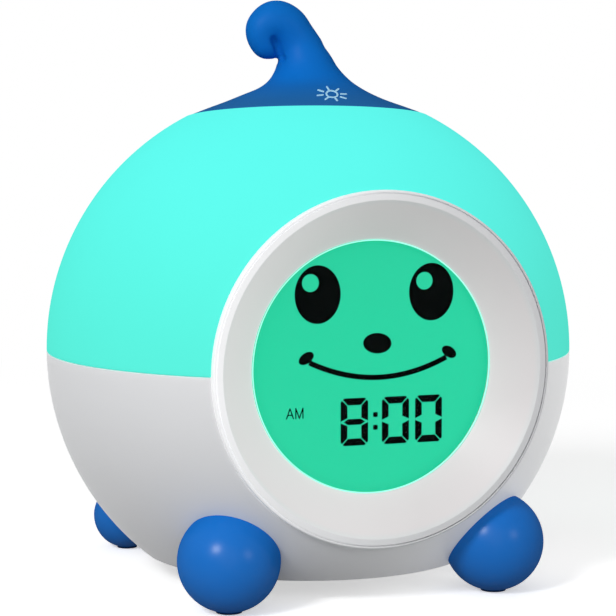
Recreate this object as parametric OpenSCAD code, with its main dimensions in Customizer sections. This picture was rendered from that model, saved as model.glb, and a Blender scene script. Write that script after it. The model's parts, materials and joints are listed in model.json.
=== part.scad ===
// Ball-shaped children's alarm clock with a glowing upper half and a curled stem.
// Millimetres, +Z up, the display looks along -Y, the origin lies on the table
// under the middle of the ball.

/* [Ball] */
// Outer diameter of the ball
ball_d = 120; // [119:1:124]
// Wall thickness of the two moulded half shells
shell_t = 2.2; // [1.8:0.1:2.6]
// Height of the flat underside above the table
belly_gap = 5; // [4:0.5:6]
// Height of the ball's middle, and of the seam, above the table
ball_z = 51.4; // [51:0.1:52]

/* [Face] */
// Outer radius of the round frames at the front and the back
rim_r = 37.9; // [37:0.1:38.4]
// Radius of the window
window_r = 27.2; // [26:0.1:28]
// Distance of the window's edge from the ball's middle
window_h = 41; // [40.8:0.1:41.2]
// Width of the flat lip round each frame
lip_w = 2.1; // [1.8:0.1:2.6]

/* [Stem] */
// Radius of the stem's foot, where it sits in the dome
stem_r = 28; // [27.6:0.1:28.4]
// Backward lean of the stem, in degrees
stem_tilt = 5.4; // [4:0.1:6.5]
// Sideways lean of the stem, away from the side that its curl points to, in degrees
stem_roll = 1.5; // [0:0.1:3]

/* [Feet] */
// Radius of a front foot
front_foot_r = 11; // [10.4:0.1:11.4]
// Radius of a rear foot
rear_foot_r = 8; // [7.6:0.1:8.4]

/* [Controls] */
// Radius of a round button on the back
button_r = 3.9; // [3.5:0.1:4.1]
// Travel of a button
button_travel = 0.5; // [0.3:0.1:0.5]
// Travel of the slide switch
switch_travel = 2.6; // [2:0.1:3]

/* [Hidden] */

$fn = 96;

// --- colours -------------------------------------------------------------
shell_white = [0.84, 0.85, 0.86];
glow_teal = [0.36, 0.96, 0.92];
toy_blue = [0.06, 0.40, 0.74];
display_green = [0.18, 0.84, 0.64];
board_green = [0.05, 0.35, 0.16];
dark_grey = [0.12, 0.12, 0.13];
metal_grey = [0.70, 0.71, 0.73];
rubber_blue = [0.05, 0.16, 0.30];

// --- derived sizes -------------------------------------------------------
ball_r = ball_d / 2;
inner_r = ball_r - shell_t;
belly_z = belly_gap - ball_z;          // underside, from the ball's middle
floor_z = belly_z + 2.4;               // inside floor
fit = 0.1;                             // clearance of a part in its opening

// lip and frame section: r is the distance from the frame's axis and h the
// distance from the ball's middle
lip_h = sqrt(ball_r * ball_r - rim_r * rim_r) + 1.45;
lip_edge_r = 0.35;
flange_r = rim_r + 2.5;
flange_h = 39.5;
catch_r = inner_r - 0.15;              // the flange catches behind the shells

// display stack, from the window inwards
lens_h = window_h - 0.2;
lens_step_h = lens_h - 0.9;
lens_back_h = lens_step_h - 0.6;
lens_flange_r = window_r + 2.4;
glass_t = 1.1;
glass_half = 28.5;                     // half width of the glass across its flats
glass_cut = 28.3;                      // distance of its cut corners from the middle
lcd_back_h = lens_back_h - 2 * glass_t;
backlight_t = 4;
board_front_h = lcd_back_h - backlight_t;
board_t = 1.6;
board_back_h = board_front_h - board_t;
frame_front_h = lens_back_h - 0.6;
frame_r = 36;
post_pitch = 23.4;                     // screw posts, from the middle, in x and z
post_l = 3.8;
tail = [20, 5, 31.5];                  // the glass's contact tail: width, length, reach
// connectors on the board's back: middle in x and z, and size
led_plug_at = [0, 3];
led_plug = [6, 4, 3];
speaker_plug_at = [15, -7];
speaker_plug = [6, 5, 4];
cell_plug_at = [14, -20];
cell_plug = [8, 5, 4];
cable_plug_at = [0, -13];
cable_plug = [14, 3, 3];

// 2 mm screws and what they go into
post_r = 2.4;
pilot_r = 1;
clear_r = 1.15;
screw_r = 0.95;
head_r = 2;
head_t = 1.2;

// back panel, from the outside inwards
panel_face_h = 44.5;
panel_t = 2.2;
panel_back_h = panel_face_h - panel_t;
panel_flat_r = 33.4;
button_board_front_h = 36;
button_board_back_h = button_board_front_h - board_t;
button_arc_r = 24;                     // the buttons stand on an arc
button_step = 35;                      // degrees between two of them
button_top_h = 46.2;
button_flange_h = panel_back_h - 0.1;
tact_size = [6, 6, 3.1];
plunger_top = 3.9;
switch_at = [11, -7.5];                // seen from behind
switch_knob_size = [3.4, 3];
switch_size = [8.6, 4.4, 3.6];
usb_at = [-10, -7.5];
usb_size = [8.9, 3.2];
speaker_at = [0, 14.5];
speaker_r = 14;
grille_pitch = 3.4;
grille_hole_r = 0.9;
board_post_at = [[-29.3, -4.6], [29.3, -4.6], [-7.5, -29], [7.5, -29]];

// light tray across the seam
tray_z = 2.3;
tray_t = 2;
tray_r = 54.5;
notch_half = 41.6;
front_notch_y = -26;
rear_notch_y = 30;
lug_angles = [-26, 0, 26, 154, 180, 206];
lug_w = 12;
column_at = [[-26, -20], [26, -20], [-26, 22], [26, 22]];
column_r = 4.2;
column_top_z = -3;
counterbore_top_z = -13;
led_board_r = 20;
led_board_z = tray_z + tray_t;
led_top_z = led_board_z + board_t;
led_screw_x = 17;
led_ring_r = 9.5;
led_size = [5, 5, 1.6];
light_plug = [8, 3.5, 4];
light_plug_y = -19.2;

// stem
ledge_z = 50.5;                        // the dome's inner ledge carries the stem
ledge_t = 1.2;
ledge_hole_r = 22;
stem_screw_pitch = 25;
stem_screw_angles = [90, 210, 330];
stem_seat_z = ledge_z + 0.05;
stem_edge_h = sqrt(ball_r * ball_r - stem_r * stem_r) - 0.1;
touch_plate_t = 0.6;
touch_plate_z = stem_seat_z - touch_plate_t;
// rings of the flared skirt: height above the ball's middle, sideways shift, radius
skirt = [[stem_edge_h, 0, stem_r], [53.9, 0.05, 25.7], [55, 0, 22.85], [56.4, 0, 19.15],
         [58, 0.2, 15.5], [59.6, 0.75, 12.2], [61.2, 0.8, 9.9], [63, 0.55, 8.25],
         [65, 0.15, 7], [67, -0.25, 6.25], [69, -0.95, 5.65], [71, -2.3, 4.6]];
// balls along the curl: sideways place, height, radius
curl = [[-1.05, 68.35, 5.35], [-2.9, 71.35, 5.05], [-4.9, 73.85, 5.15], [-7.5, 74.9, 5],
        [-10.15, 73.5, 4.2], [-10.65, 71.45, 3.6], [-9.85, 69.25, 2.95], [-8, 68.65, 2.25]];

// feet: middle of each, from the ball's middle
foot_at = [[-31.2, -36.95, front_foot_r - ball_z], [30.3, -36.95, front_foot_r - ball_z],
           [-34.1, 35.3, rear_foot_r - ball_z], [34.1, 35.3, rear_foot_r - ball_z]];
foot_r = [front_foot_r, front_foot_r, rear_foot_r, rear_foot_r];
pad_r = [2.8, 2.8, 2.4, 2.4];
pad_h = 1.2;
peg_r = 3.9;

// battery on the floor, along x
cell_r = 9.2;
cell_l = 65;
cell_z = floor_z + cell_r + 0.1;
bracket_screw_y = 14;
bracket_t = 1.6;
bracket_w = 12;
bracket_foot_z = floor_z + 6;

// --- helpers -------------------------------------------------------------
module ball_frame() { translate([0, 0, ball_z]) children(); }
module crown_turn() { rotate([-stem_tilt, stem_roll, 0]) children(); }
module crown_frame() { ball_frame() crown_turn() children(); }
// local z becomes the distance in front of (or behind) the ball's middle
module facing_front() { ball_frame() rotate([90, 0, 0]) children(); }
module facing_rear() { ball_frame() rotate([90, 0, 180]) children(); }
// local z runs from the ball's middle through point p
module toward(p) {
    rotate([0, acos(p[2] / norm(p)), atan2(p[1], p[0])]) children();
}

function unit(v) = v / norm(v);
function blend4(a, b, c, d, t) =
    0.5 * (2 * b + (c - a) * t + (2 * a - 5 * b + 4 * c - d) * t * t
           + (3 * b - a - 3 * c + d) * t * t * t);
// smooth curve through the points p, with n steps between two of them
function smooth(p, n) = let (last = len(p) - 1)
    concat([for (i = [0 : last - 1], k = [0 : n - 1])
        blend4(p[max(i - 1, 0)], p[i], p[i + 1], p[min(i + 2, last)], k / n)],
        [p[last]]);
// faces of a skin over m rings of n points each
function skin_faces(m, n) = concat(
    [[for (k = [0 : n - 1]) k]],
    [for (i = [0 : m - 2], k = [0 : n - 1])
        [i * n + k, (i + 1) * n + k, (i + 1) * n + (k + 1) % n, i * n + (k + 1) % n]],
    [[for (k = [n - 1 : -1 : 0]) (m - 1) * n + k]]);

// insulated wire along a hand-set route; across is a direction it never follows
module wire(route, r, across) {
    path = smooth(route, 3);
    m = len(path);
    sides = 8;
    rings = [for (i = [0 : m - 1]) let (
        t = unit(path[min(i + 1, m - 1)] - path[max(i - 1, 0)]),
        u = unit(cross(t, across)),
        w = cross(t, u))
        for (k = [0 : sides - 1])
            path[i] + r * (cos(k * 360 / sides) * u - sin(k * 360 / sides) * w)];
    polyhedron(points = rings, faces = skin_faces(m, sides));
}

// cross-slotted screw; its head starts at z = 0 and its shank points up
module screw(r, t, shank_r, shank_l) {
    slot = [1.2 * r, 0.5, 0.45 * t];
    difference() {
        union() {
            cylinder(r = r, h = t);
            translate([0, 0, t]) cylinder(r = shank_r, h = shank_l);
        }
        for (a = [0, 90])
            rotate(a) translate([-slot[0] / 2, -slot[1] / 2, -0.01]) cube(slot);
    }
}

module small_screw(shank_l) { screw(head_r, head_t, screw_r, shank_l); }

// the four screw places round the display
module at_corners() {
    for (x = [-1, 1], z = [-1, 1]) translate([x * post_pitch, z * post_pitch, 0]) children();
}

// round opening through the shell, front or back
module shell_opening() {
    translate([0, 0, flange_h - 1]) cylinder(r = rim_r + fit, h = ball_r);
}

// --- shells --------------------------------------------------------------
module housing_section() {
    difference() {
        intersection() {
            circle(r = ball_r);
            translate([0, belly_z]) square([ball_r, -belly_z]);
        }
        intersection() {
            circle(r = inner_r);
            translate([0, floor_z]) square([ball_r, -floor_z + 1]);
        }
    }
}

module seam_lip() {
    difference() {
        rotate_extrude()
            polygon([[inner_r - 1.6, -5], [inner_r + 0.6, -5], [inner_r + 0.6, -0.6],
                     [inner_r - 0.2, -0.6], [inner_r - 0.2, 2], [inner_r - 1.6, 2]]);
        for (a = lug_angles)
            rotate(a) translate([50, -lug_w / 2 - 1, -0.6]) cube([10, lug_w + 2, 5]);
        for (s = [-1, 1])
            rotate([90 * s, 0, 0]) translate([0, 0, 30]) cylinder(r = 43, h = 40);
    }
}

module column(p) {
    translate([p[0], p[1], floor_z - 1])
        cylinder(r = column_r, h = column_top_z - floor_z + 1);
}

module column_bore(p) {
    translate([p[0], p[1], belly_z - 1]) {
        cylinder(r = 2.9, h = counterbore_top_z - belly_z + 1);
        cylinder(r = 1.6, h = 60);
    }
}

module cell_saddles() {
    difference() {
        for (x = [-20, 20])
            translate([x - 1, -12, floor_z - 1]) cube([2, 24, 7]);
        translate([-40, 0, cell_z]) rotate([0, 90, 0]) cylinder(r = cell_r + 0.1, h = 80);
    }
}

module lower_housing() {
    color(shell_white) ball_frame() difference() {
        union() {
            rotate_extrude() housing_section();
            seam_lip();
            for (p = column_at) column(p);
            cell_saddles();
            for (s = [-1, 1]) translate([0, s * bracket_screw_y, floor_z - 1])
                cylinder(r = 3, h = bracket_foot_z - floor_z + 1);
        }
        for (s = [-1, 1]) rotate([90 * s, 0, 0]) shell_opening();
        for (p = column_at) column_bore(p);
        for (p = foot_at) toward(p) translate([0, 0, 50]) cylinder(r = peg_r + fit, h = 20);
        for (s = [-1, 1])
            translate([0, s * bracket_screw_y, floor_z]) cylinder(r = pilot_r, h = 10);
    }
}

module dome_lugs() {
    intersection() {
        for (a = lug_angles)
            rotate(a) translate([52, -lug_w / 2, 0.2]) cube([8, lug_w, tray_z - 0.2]);
        sphere(r = inner_r + 0.7);
    }
}

module stem_ledge() {
    intersection() {
        crown_turn() translate([0, 0, ledge_z - ledge_t]) difference() {
            cylinder(r = stem_r + 5, h = ledge_t);
            translate([0, 0, -1]) cylinder(r = ledge_hole_r, h = ledge_t + 2);
            for (a = stem_screw_angles) rotate(a) translate([stem_screw_pitch, 0, -1])
                cylinder(r = clear_r, h = ledge_t + 2);
        }
        sphere(r = inner_r + 0.7);
    }
}

module light_dome() {
    color(glow_teal) ball_frame() union() {
        difference() {
            rotate_extrude() difference() {
                intersection() {
                    circle(r = ball_r);
                    square([ball_r, ball_r]);
                }
                circle(r = inner_r);
            }
            for (s = [-1, 1]) rotate([90 * s, 0, 0]) shell_opening();
            crown_turn() translate([0, 0, 40]) cylinder(r = stem_r + 0.15, h = 30);
        }
        dome_lugs();
        stem_ledge();
    }
}

// --- stem ----------------------------------------------------------------
module stem_skirt() {
    sides = 44;
    rings = concat([[stem_seat_z, 0, stem_r]], smooth(skirt, 2));
    m = len(rings);
    points = [for (q = rings, k = [0 : sides - 1])
        [q[1] + q[2] * cos(k * 360 / sides), q[2] * sin(k * 360 / sides), q[0]]];
    polyhedron(points = points, faces = skin_faces(m, sides));
}

module stem_curl() {
    for (i = [0 : len(curl) - 2])
        hull() for (q = [curl[i], curl[i + 1]])
            translate([q[0], 0, q[1]]) sphere(r = q[2], $fn = 28);
}

module stem_cap() {
    color(toy_blue) crown_frame() difference() {
        union() {
            stem_skirt();
            stem_curl();
        }
        for (a = stem_screw_angles)
            rotate(a) translate([stem_screw_pitch, 0, ledge_z - 1])
                cylinder(r = pilot_r, h = 4);
    }
}

module touch_plate() {
    color(metal_grey) crown_frame() translate([0, 0, touch_plate_z])
        cylinder(r = ledge_hole_r - 2, h = touch_plate_t);
}

module touch_wire() {
    color(dark_grey) ball_frame()
        wire([[5, 0, touch_plate_z], [5.5, 1, 43], [7, 2, 32], [6.5, 1, 20], [5, 0, 12],
              [5, 0, led_top_z + 0.1]], 0.6, [0, 1, 0]);
}

module stem_screws() {
    color(metal_grey) crown_frame() for (a = stem_screw_angles)
        rotate(a) translate([stem_screw_pitch, 0, ledge_z - ledge_t - head_t])
            small_screw(3.8);
}

// --- front frame and display --------------------------------------------
// frame section with its flange, outer wall and lip, but without its inner part
module rim_section() {
    polygon([[rim_r - 2, flange_h], [flange_r, flange_h],
             [flange_r, sqrt(catch_r * catch_r - flange_r * flange_r)],
             [rim_r, sqrt(catch_r * catch_r - rim_r * rim_r)],
             [rim_r, lip_h - lip_edge_r], [rim_r - lip_edge_r, lip_h],
             [rim_r - lip_w, lip_h]]);
    translate([rim_r - lip_edge_r, lip_h - lip_edge_r])
        circle(r = lip_edge_r, $fn = 48);
}

// straight cone between the lip and the window
module bowl_section() {
    polygon([[rim_r - 1.5, lip_h], [rim_r - 2, flange_h], [rim_r - 2, 42.4],
             [window_r + 4.6, lens_back_h],
             [lens_flange_r + 0.1, lens_back_h], [lens_flange_r + 0.1, lens_step_h],
             [window_r, lens_step_h], [window_r, window_h - 0.4],
             [window_r + 0.5, window_h], [rim_r - lip_w, lip_h]]);
}

module front_bezel() {
    color(shell_white) facing_front() difference() {
        union() {
            rotate_extrude() union() {
                rim_section();
                bowl_section();
            }
            at_corners() translate([0, 0, frame_front_h]) cylinder(r = post_r, h = post_l);
        }
        at_corners() translate([0, 0, frame_front_h - 1]) cylinder(r = pilot_r, h = post_l);
    }
}

module display_lens() {
    color([0.8, 0.95, 0.9, 0.35]) facing_front() rotate_extrude()
        polygon([[0, lens_back_h], [lens_flange_r, lens_back_h],
                 [lens_flange_r, lens_step_h], [window_r - 0.05, lens_step_h],
                 [window_r - 0.05, lens_h - 0.3], [window_r - 0.35, lens_h], [0, lens_h]]);
}

// square with its four corners cut off
module cut_square(half, cut) {
    intersection() {
        square(2 * half, center = true);
        rotate(45) square(2 * cut, center = true);
    }
}

module lcd_panel() {
    color(display_green) facing_front() {
        translate([0, 0, lcd_back_h + glass_t]) linear_extrude(glass_t)
            cut_square(glass_half, glass_cut);
        translate([0, 0, lcd_back_h]) linear_extrude(glass_t) union() {
            cut_square(glass_half, glass_cut);
            translate([-tail[0] / 2, -tail[2]]) square([tail[0], tail[1]]);
        }
    }
}

module backlight() {
    color("white") facing_front() translate([0, 0, board_front_h])
        linear_extrude(backlight_t) cut_square(glass_half - 0.5, glass_cut - 0.5);
}

module lcd_frame() {
    color(dark_grey) facing_front() difference() {
        translate([0, 0, board_front_h])
            cylinder(r = frame_r, h = frame_front_h - board_front_h);
        translate([0, 0, board_front_h - 1]) linear_extrude(20) union() {
            cut_square(glass_half + 0.2, glass_cut + 0.2);
            translate([-tail[0] / 2 - 0.2, -tail[2] - 0.2]) square([tail[0] + 0.4, tail[1]]);
        }
        at_corners() translate([0, 0, board_front_h - 1]) cylinder(r = clear_r, h = 10);
    }
}

module main_board() {
    color(board_green) facing_front() translate([0, 0, board_back_h]) difference() {
        cylinder(r = frame_r, h = board_t);
        at_corners() translate([0, 0, -1]) cylinder(r = clear_r, h = board_t + 2);
    }
}

// block on the board's back, at p in x and z
module chip(p, size) {
    translate([p[0] - size[0] / 2, p[1] - size[1] / 2, board_back_h - size[2]]) cube(size);
}

module board_parts() {
    color(dark_grey) facing_front() {
        chip([-10, 8], [10, 10, 1.4]);
        chip([-12, -10], [5, 6, 1.5]);
        chip([6, 16], [6, 4, 1.5]);
        chip(led_plug_at, led_plug);
        chip(speaker_plug_at, speaker_plug);
        chip(cell_plug_at, cell_plug);
        chip(cable_plug_at, cable_plug);
        for (p = [[20, 12], [-24, -4]])
            translate([p[0], p[1], board_back_h - 5]) cylinder(r = 3, h = 5);
    }
}

module board_screws() {
    color(metal_grey) facing_front() at_corners()
        translate([0, 0, board_back_h - head_t]) small_screw(9);
}

// --- light unit ----------------------------------------------------------
module reflector_tray() {
    color("white") ball_frame() difference() {
        union() {
            translate([0, 0, tray_z]) difference() {
                cylinder(r = tray_r, h = tray_t);
                translate([-notch_half, front_notch_y - 40, -1])
                    cube([2 * notch_half, 40, tray_t + 2]);
                translate([-notch_half, rear_notch_y, -1])
                    cube([2 * notch_half, 40, tray_t + 2]);
            }
            for (p = column_at)
                translate([p[0], p[1], column_top_z])
                    cylinder(r = column_r, h = tray_z - column_top_z + 0.5);
        }
        for (p = column_at)
            translate([p[0], p[1], column_top_z - 1]) cylinder(r = 1.5, h = 6);
        for (s = [-1, 1])
            translate([s * led_screw_x, 0, tray_z - 1]) cylinder(r = pilot_r, h = tray_t + 2);
    }
}

module led_board() {
    color("white") ball_frame() translate([0, 0, led_board_z]) difference() {
        cylinder(r = led_board_r, h = board_t);
        for (s = [-1, 1])
            translate([s * led_screw_x, 0, -1]) cylinder(r = clear_r, h = board_t + 2);
    }
}

module leds() {
    color([0.95, 0.95, 0.8]) ball_frame() {
        for (a = [22.5 : 45 : 360])
            rotate(a) translate([led_ring_r, -led_size[1] / 2, led_top_z]) cube(led_size);
        translate([-light_plug[0] / 2, light_plug_y, led_top_z]) cube(light_plug);
    }
}

module led_screws() {
    color(metal_grey) ball_frame() for (s = [-1, 1])
        translate([s * led_screw_x, 0, led_top_z + head_t]) rotate([180, 0, 0])
            small_screw(3.4);
}

module led_wires() {
    end_y = led_plug[2] / 2 - board_back_h;
    color(dark_grey) ball_frame() for (x = [-1.6, 0, 1.6])
        wire([[x, light_plug_y - 0.1, led_top_z + 2], [x, -21, led_top_z + 2],
              [x, -24.5, 8.6], [x, -27.6, 7.6], [x, end_y, 6.6],
              [x, end_y, led_plug_at[1] + led_plug[1] / 2 + 0.1]], 0.5, [1, 0, 0]);
}

// --- back panel ----------------------------------------------------------
module rear_section() {
    polygon([[0, panel_back_h], [rim_r - 2, panel_back_h], [rim_r - 2, flange_h],
             [rim_r - 1, flange_h], [rim_r - 1, lip_h], [rim_r - lip_w, lip_h],
             [panel_flat_r + 0.6, panel_face_h + 0.4], [panel_flat_r, panel_face_h],
             [0, panel_face_h]]);
}

function button_angle(i) = -90 + (i - 2) * button_step;
function button_place(i) =
    [button_arc_r * cos(button_angle(i)), button_arc_r * sin(button_angle(i))];

module slot_2d(w, h) {
    hull_x = (w - h) / 2;
    square([2 * hull_x, h], center = true);
    for (s = [-1, 1]) translate([s * hull_x, 0]) circle(d = h, $fn = 48);
}

module grille_holes() {
    translate([speaker_at[0], speaker_at[1], panel_back_h - 1]) {
        cylinder(r = grille_hole_r, h = 5);
        for (ring = [1 : 3], k = [0 : 6 * ring - 1])
            rotate(k * 60 / ring) translate([ring * grille_pitch, 0, 0])
                cylinder(r = grille_hole_r, h = 5);
    }
}

module rear_panel() {
    color(shell_white) facing_rear() difference() {
        union() {
            rotate_extrude() union() {
                rim_section();
                rear_section();
            }
            for (p = board_post_at)
                translate([p[0], p[1], button_board_front_h])
                    cylinder(r = post_r, h = panel_back_h - button_board_front_h + 0.5);
        }
        grille_holes();
        for (i = [0 : 4])
            translate([button_place(i)[0], button_place(i)[1], panel_back_h - 1])
                cylinder(r = button_r + 0.08, h = 5);
        for (p = board_post_at)
            translate([p[0], p[1], button_board_front_h - 1])
                cylinder(r = pilot_r, h = 5);
        translate([usb_at[0], usb_at[1], panel_back_h - 1])
            linear_extrude(5) slot_2d(usb_size[0] + 0.8, usb_size[1] + 0.8);
        translate([switch_at[0] - switch_knob_size[0] / 2 - 0.1,
                   switch_at[1] - switch_knob_size[1] / 2 - 0.1, panel_back_h - 1])
            cube([switch_knob_size[0] + switch_travel + 0.2,
                  switch_knob_size[1] + 0.2, 5]);
    }
}

module button_board() {
    color(board_green) facing_rear() translate([0, 0, button_board_back_h]) difference() {
        intersection() {
            cylinder(r = 33, h = board_t);
            translate([-40, -40, -1]) cube([80, 38.5, 4]);
        }
        for (p = board_post_at)
            translate([p[0], p[1], -1]) cylinder(r = clear_r, h = board_t + 2);
    }
}

module tact_switches() {
    color(dark_grey) facing_rear() for (i = [0 : 4])
        translate([button_place(i)[0], button_place(i)[1], button_board_front_h]) {
            translate([-tact_size[0] / 2, -tact_size[1] / 2, 0]) cube(tact_size);
            cylinder(r = 1.7, h = plunger_top);
        }
}

module push_button(i) {
    tip_h = button_board_front_h + plunger_top + button_travel + 0.1;
    facing_rear() translate([button_place(i)[0], button_place(i)[1], 0]) rotate_extrude()
        polygon([[0, tip_h], [1.6, tip_h], [1.6, button_flange_h - 1],
                 [button_r + 1.1, button_flange_h - 1], [button_r + 1.1, button_flange_h],
                 [button_r, button_flange_h], [button_r, button_top_h - 0.7],
                 [button_r - 0.25, button_top_h - 0.25], [button_r - 0.8, button_top_h],
                 [0, button_top_h]]);
}

module alarm_button() { color(toy_blue) push_button(0); }
module set_button() { color(toy_blue) push_button(1); }
module light_button() { color(toy_blue) push_button(2); }
module up_button() { color(toy_blue) push_button(3); }
module down_button() { color(toy_blue) push_button(4); }

module switch_body() {
    color(metal_grey) facing_rear()
        translate([switch_at[0] + (switch_travel - switch_size[0]) / 2,
                   switch_at[1] - switch_size[1] / 2, button_board_front_h])
            cube(switch_size);
}

module switch_knob() {
    w = switch_knob_size[0];
    d = switch_knob_size[1];
    color(toy_blue) facing_rear() translate([switch_at[0], switch_at[1], 0]) difference() {
        union() {
            translate([-w / 2, -d / 2, panel_back_h - 0.6]) cube([w, d, 4]);
            translate([-w / 2 - 1.2, -d / 2 - 0.8, panel_back_h - 1.1])
                cube([w + 2.4, d + 1.6, 1]);
            translate([-0.9, -0.9, button_board_front_h + switch_size[2] + 0.1])
                cube([1.8, 1.8, 3]);
        }
        for (s = [-1, 0, 1])
            translate([s - 0.2, -d, panel_back_h + 3.1]) cube([0.4, 2 * d, 1]);
    }
}

module usb_socket() {
    depth = panel_face_h - 0.6 - button_board_front_h;
    color(metal_grey) facing_rear()
        translate([usb_at[0], usb_at[1], button_board_front_h]) {
            difference() {
                linear_extrude(depth) slot_2d(usb_size[0], usb_size[1]);
                translate([0, 0, 1.2])
                    linear_extrude(depth) slot_2d(usb_size[0] - 0.6, usb_size[1] - 0.6);
            }
            translate([-3.3, -0.35, 1]) cube([6.6, 0.7, depth - 1.8]);
        }
}

module panel_screws() {
    color(metal_grey) facing_rear() for (p = board_post_at)
        translate([p[0], p[1], button_board_back_h - head_t]) small_screw(5);
}

// --- speaker -------------------------------------------------------------
module speaker_place() {
    facing_rear() translate([speaker_at[0], speaker_at[1], 0]) children();
}

module speaker_frame() {
    top = panel_back_h;
    color(dark_grey) speaker_place() difference() {
        rotate_extrude() polygon([[12.6, top], [speaker_r, top], [speaker_r, top - 1.6],
            [12.8, top - 1.6], [9, top - 6], [5, top - 6], [5, top - 5.2],
            [8.7, top - 5.2], [12, top - 1.2], [12.6, top - 1.2]]);
        for (a = [0 : 90 : 270])
            rotate(a + 45) translate([0, 0, top - 4]) rotate([0, 90, 0])
                cylinder(r = 1.4, h = 11.6);
    }
}

module speaker_cone() {
    top = panel_back_h - 1.2;
    color([0.2, 0.2, 0.2]) speaker_place() rotate_extrude()
        polygon([[0, top - 1.6], [3.2, top - 2.4], [4.6, top - 3.6], [11.3, top - 0.5],
                 [11.9, top], [12.5, top], [12.5, top + 0.4], [11.2, top + 0.1],
                 [4.7, top - 3.1], [3.4, top - 2], [0, top - 1.2]]);
}

module speaker_magnet() {
    color(metal_grey) speaker_place() translate([0, 0, panel_back_h - 10.5])
        cylinder(r = 7.6, h = 4.5);
}

module speaker_wires() {
    start_y = panel_back_h - 6.1;
    end_y = speaker_plug[2] + 0.1 - board_back_h;
    color(dark_grey) ball_frame() for (k = [0, 1])
        wire([[8.1, start_y, 12.6 + 3.8 * k], [8.3, 33.4, 12.4 + 3.8 * k],
              [9.2 + 1.6 * k, 31.7, 8 + k], [10 + 1.6 * k, 31.3, 0],
              [10.4 + 1.6 * k, 26, -5.8], [10.5 + 1.6 * k, 12, -7.5],
              [11.5 + 1.6 * k, -8, -7.5], [13.5 + 1.6 * k, -21, -7],
              [14 + 1.6 * k, end_y, -7]], 0.5, [1, 0, 0]);
}

// --- battery -------------------------------------------------------------
module battery() {
    color(toy_blue) ball_frame() translate([-cell_l / 2, 0, cell_z]) rotate([0, 90, 0])
        union() {
            cylinder(r = cell_r, h = cell_l - 1);
            cylinder(r = 4, h = cell_l);
        }
}

module battery_bracket() {
    r = cell_r + 0.3;
    outer = r + bracket_t;
    foot_l = 35;
    color("white") ball_frame() difference() {
        translate([-bracket_w / 2, 0, 0]) rotate([90, 0, 90]) linear_extrude(bracket_w)
            difference() {
                union() {
                    translate([0, cell_z]) circle(r = outer);
                    translate([-foot_l / 2, bracket_foot_z]) square([foot_l, bracket_t]);
                    translate([-outer, bracket_foot_z])
                        square([2 * outer, cell_z - bracket_foot_z]);
                }
                translate([0, cell_z]) circle(r = r);
                translate([-r, bracket_foot_z - 10])
                    square([2 * r, cell_z - bracket_foot_z + 10]);
                translate([-20, bracket_foot_z - 20]) square([40, 20]);
            }
        for (s = [-1, 1])
            translate([0, s * bracket_screw_y, bracket_foot_z - 1]) cylinder(r = clear_r, h = 4);
    }
}

module bracket_screws() {
    color(metal_grey) ball_frame() for (s = [-1, 1])
        translate([0, s * bracket_screw_y, bracket_foot_z + bracket_t + head_t])
            rotate([180, 0, 0]) small_screw(6);
}

module battery_wires() {
    end_x = cell_plug_at[0] + cell_plug[0] / 2 + 0.1;
    end_y = cell_plug[2] / 2 - board_back_h;
    end_z = cell_plug_at[1] - 0.6;
    color("red") ball_frame() for (z = [0, 1.3])
        wire([[cell_l / 2 + 0.1, 1, z - 35], [35, 0, z - 34], [36, -6, z - 31],
              [35, -14, z - 27.5], [32.5, -22, z - 25], [28, -27.8, z - 22.5],
              [22, end_y, z + end_z], [end_x, end_y, z + end_z]], 0.5, [0, 0, 1]);
}

// flat cable from the back board to the main board
module board_cable() {
    cable_w = 10;
    cable_t = 0.8;
    front_y = cable_plug[2] - board_back_h;
    color([0.8, 0.8, 0.82]) ball_frame()
        translate([-cable_w / 2, front_y, cable_plug_at[1] - cable_t / 2])
            cube([cable_w, button_board_back_h - front_y, cable_t]);
}

// --- case screws and feet -------------------------------------------------
module case_screws() {
    color(metal_grey) ball_frame() for (p = column_at)
        translate([p[0], p[1], counterbore_top_z - 2]) screw(2.6, 2, 1.4, 14.5);
}

module foot(i) {
    difference() {
        union() {
            difference() {
                translate(foot_at[i]) sphere(r = foot_r[i]);
                sphere(r = ball_r + 0.05);
            }
            toward(foot_at[i]) translate([0, 0, inner_r - 0.25])
                cylinder(r = peg_r, h = shell_t + 1.5);
        }
        toward(foot_at[i]) translate([0, 0, inner_r - 2]) cylinder(r = 1.55, h = 9);
        translate([foot_at[i][0], foot_at[i][1], -ball_z - 1])
            cylinder(r = pad_r[i] + 0.05, h = pad_h + 1);
    }
}

module front_left_foot() { color(toy_blue) ball_frame() foot(0); }
module front_right_foot() { color(toy_blue) ball_frame() foot(1); }
module rear_left_foot() { color(toy_blue) ball_frame() foot(2); }
module rear_right_foot() { color(toy_blue) ball_frame() foot(3); }

module foot_screws() {
    wide_r = 5.2;
    wide_t = 1.4;
    seat = sqrt(inner_r * inner_r - wide_r * wide_r) - 0.05;
    color(metal_grey) ball_frame() for (p = foot_at)
        toward(p) translate([0, 0, seat - wide_t]) screw(wide_r, wide_t, 1.5, 6);
}

module foot_pads() {
    color(rubber_blue) for (i = [0 : 3])
        translate([foot_at[i][0], foot_at[i][1], 0]) cylinder(r = pad_r[i], h = pad_h);
}

lower_housing();
light_dome();
stem_cap();
touch_plate();
touch_wire();
stem_screws();
front_bezel();
display_lens();
lcd_panel();
backlight();
lcd_frame();
main_board();
board_parts();
board_screws();
reflector_tray();
led_board();
leds();
led_screws();
led_wires();
rear_panel();
button_board();
tact_switches();
alarm_button();
set_button();
light_button();
up_button();
down_button();
switch_body();
switch_knob();
usb_socket();
panel_screws();
speaker_frame();
speaker_cone();
speaker_magnet();
speaker_wires();
battery();
battery_bracket();
bracket_screws();
battery_wires();
board_cable();
case_screws();
front_left_foot();
front_right_foot();
rear_left_foot();
rear_right_foot();
foot_screws();
foot_pads();
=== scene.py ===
import json
import math

import bmesh
import bpy
from mathutils import Matrix, Vector
from mathutils.bvhtree import BVHTree


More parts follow.
